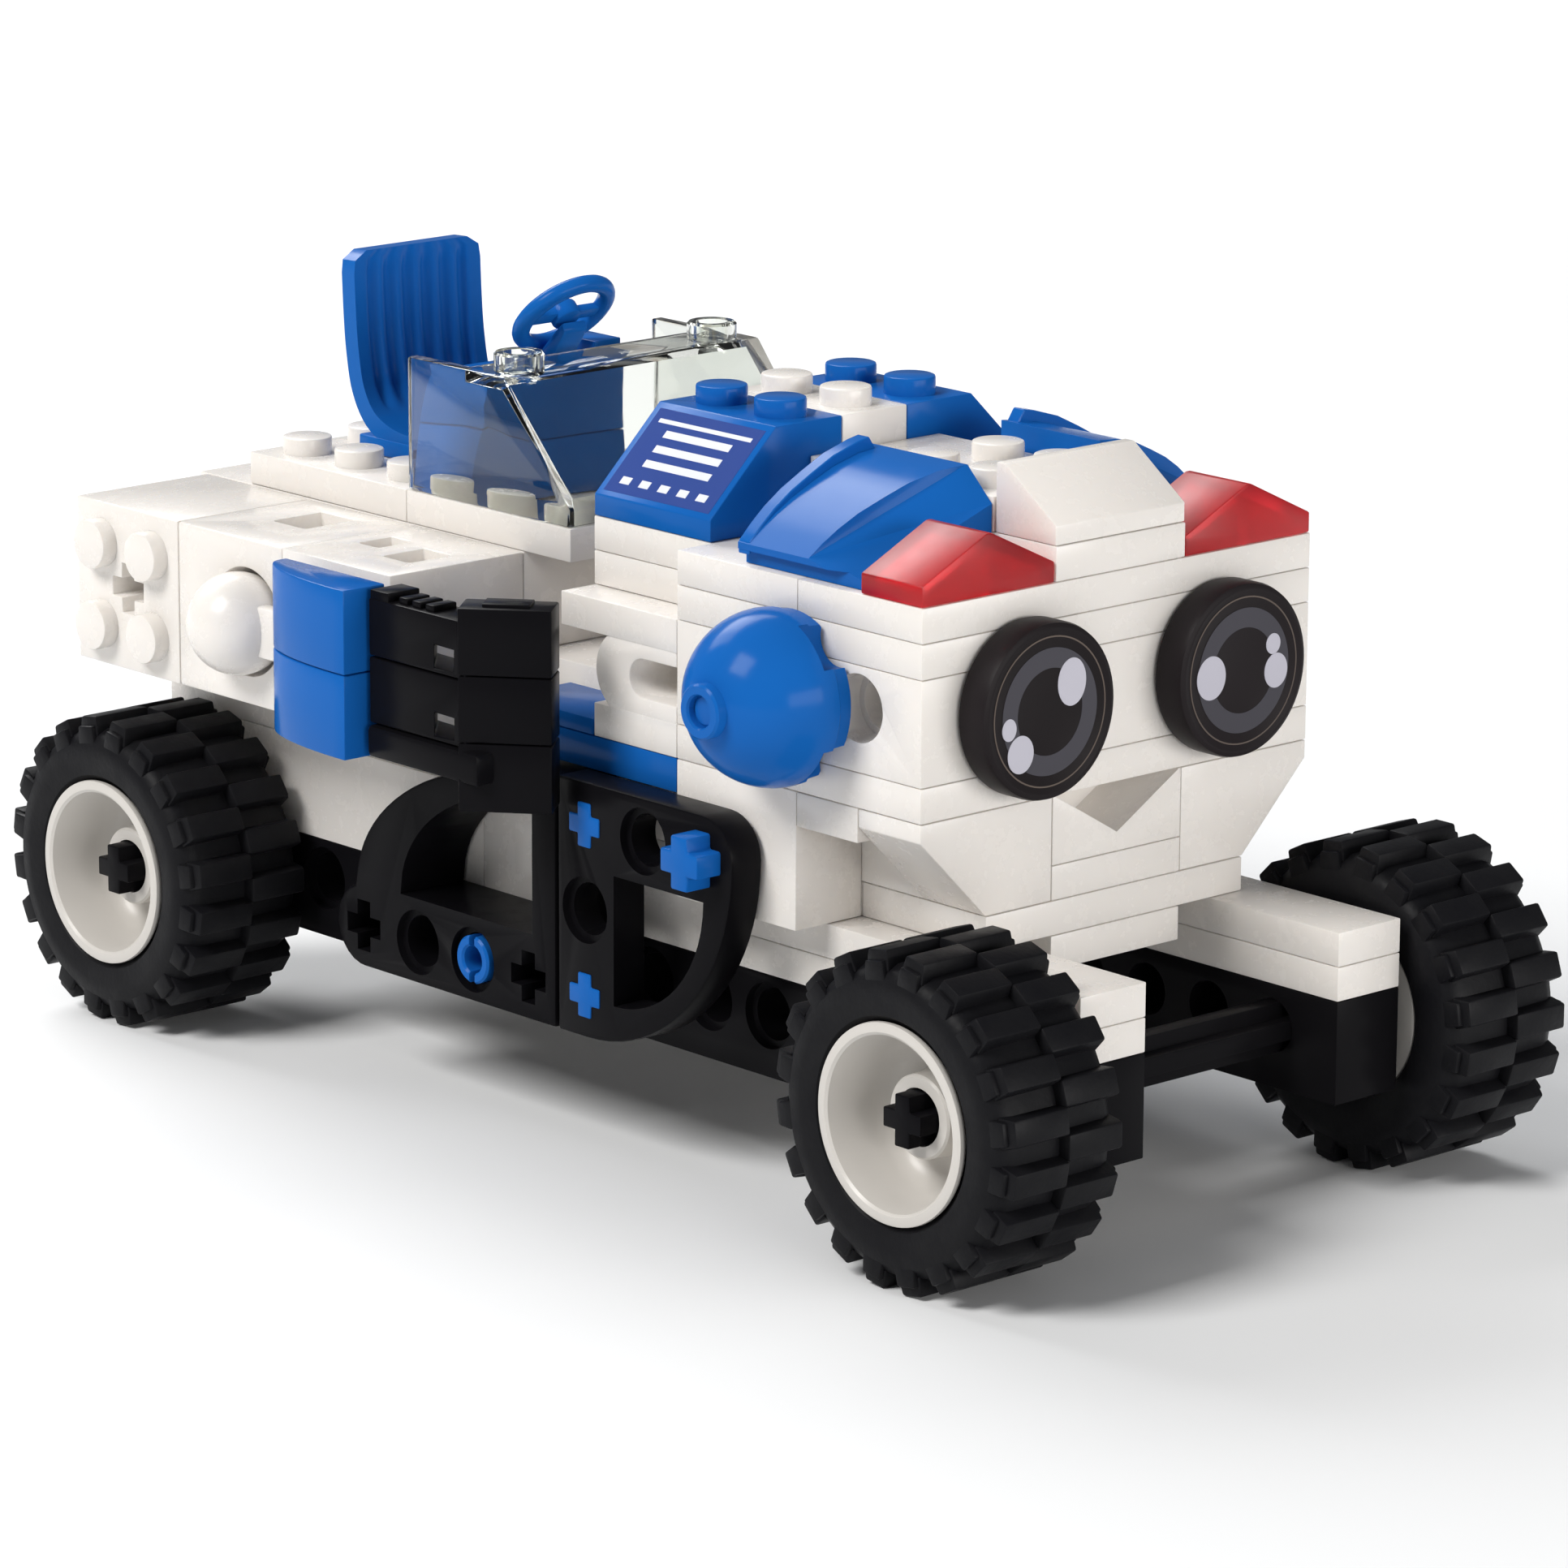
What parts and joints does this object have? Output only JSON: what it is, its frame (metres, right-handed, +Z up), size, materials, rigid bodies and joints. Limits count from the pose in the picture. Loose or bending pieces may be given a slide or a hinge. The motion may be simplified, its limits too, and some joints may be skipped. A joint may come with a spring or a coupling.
{
  "type": "brick-built toy robot car",
  "caption": "Brick-built toy robot car with a cartoon face, dome ears, folding side arms, an open cab with seat and steering wheel, and balloon tyres.",
  "frame": {"origin": "centre of the footprint, on the surface that the tyres stand on", "axes": "+Z up, -Y the way the face looks, +X to the right of someone who faces the robot"},
  "size_m": [0.0782, 0.1424, 0.0739],
  "materials": {
    "white_plastic": "glossy moulded ABS, warm white",
    "blue_plastic": "glossy moulded ABS, bright blue",
    "black_plastic": "glossy moulded ABS, black",
    "tyre_rubber": "soft black rubber, satin",
    "red_clear_plastic": "transparent red, polished",
    "clear_plastic": "transparent colourless, polished"
  },
  "bodies": {
    "car_body": {"brow_left": "blue_plastic", "brow_right": "blue_plastic", "cab_plate": "white_plastic", "chassis_beam_left": "black_plastic", "chassis_beam_right": "black_plastic", "console": "blue_plastic", "crown": "white_plastic", "deck": "white_plastic", "eye_left": "black_plastic", "eye_right": "black_plastic", "fender_left": "white_plastic", "fender_right": "white_plastic", "frame_pin_left": "blue_plastic", "frame_pin_right": "blue_plastic", "head": "white_plastic", "hood_base": "white_plastic", "hood_slope_left": "blue_plastic", "hood_slope_right": "blue_plastic", "jaw": "white_plastic", "lamp_left": "red_clear_plastic", "lamp_right": "red_clear_plastic", "lower_body": "white_plastic", "nose_slope": "white_plastic", "seat": "blue_plastic", "shoulder_front_left": "white_plastic", "shoulder_front_right": "white_plastic", "shoulder_rear_left": "white_plastic", "shoulder_rear_right": "white_plastic", "shoulder_socket_left": "white_plastic", "shoulder_socket_right": "white_plastic", "side_brick_left": "blue_plastic", "side_brick_right": "blue_plastic", "side_frame_front_left": "black_plastic", "side_frame_front_right": "black_plastic", "side_frame_rear_left": "black_plastic", "side_frame_rear_right": "black_plastic", "side_loop_left": "white_plastic", "side_loop_right": "white_plastic", "windscreen": "clear_plastic"},
    "front_wheels": {"front_axle": "black_plastic", "rim_front_left": "white_plastic", "rim_front_right": "white_plastic", "tyre_front_left": "tyre_rubber", "tyre_front_right": "tyre_rubber"},
    "rear_wheels": {"rear_axle": "black_plastic", "rim_rear_left": "white_plastic", "rim_rear_right": "white_plastic", "tyre_rear_left": "tyre_rubber", "tyre_rear_right": "tyre_rubber"},
    "steering": {"steering_wheel": "blue_plastic"},
    "left_ear": {"ear_left": "blue_plastic"},
    "right_ear": {"ear_right": "blue_plastic"},
    "left_upper_arm": {"arm_link_left": "white_plastic", "arm_armour_left": "blue_plastic"},
    "right_upper_arm": {"arm_link_right": "white_plastic", "arm_armour_right": "blue_plastic"},
    "left_forearm": {"forearm_left": "black_plastic"},
    "right_forearm": {"forearm_right": "black_plastic"}
  },
  "joints": [
    {"name": "front_wheels_roll", "type": "hinge", "parent": "car_body", "child": "front_wheels", "pos_m": [0, -0.056, 0.0152], "axis": [1, 0, 0], "continuous": true},
    {"name": "rear_wheels_roll", "type": "hinge", "parent": "car_body", "child": "rear_wheels", "pos_m": [0, 0.056, 0.0152], "axis": [1, 0, 0], "continuous": true},
    {"name": "steering_wheel_turn", "type": "hinge", "parent": "car_body", "child": "steering", "pos_m": [0, 0.0277, 0.0698], "axis": [0, 0.7071, 0.7071], "continuous": true},
    {"name": "left_ear_turn", "type": "hinge", "parent": "car_body", "child": "left_ear", "pos_m": [-0.028, -0.032, 0.0472], "axis": [1, 0, 0], "continuous": true},
    {"name": "right_ear_turn", "type": "hinge", "parent": "car_body", "child": "right_ear", "pos_m": [0.028, -0.032, 0.0472], "axis": [1, 0, 0], "continuous": true},
    {"name": "left_shoulder", "type": "hinge", "parent": "car_body", "child": "left_upper_arm", "pos_m": [-0.033, 0.0362, 0.043], "axis": [0, 0, 1], "range_deg": [-80, 0]},
    {"name": "right_shoulder", "type": "hinge", "parent": "car_body", "child": "right_upper_arm", "pos_m": [0.033, 0.0362, 0.043], "axis": [0, 0, 1], "range_deg": [0, 80]},
    {"name": "left_elbow", "type": "hinge", "parent": "left_upper_arm", "child": "left_forearm", "pos_m": [-0.0362, 0.0104, 0.043], "axis": [0, 0, 1], "range_deg": [-90, 0]},
    {"name": "right_elbow", "type": "hinge", "parent": "right_upper_arm", "child": "right_forearm", "pos_m": [0.0362, 0.0104, 0.043], "axis": [0, 0, 1], "range_deg": [0, 90]}
  ]
}
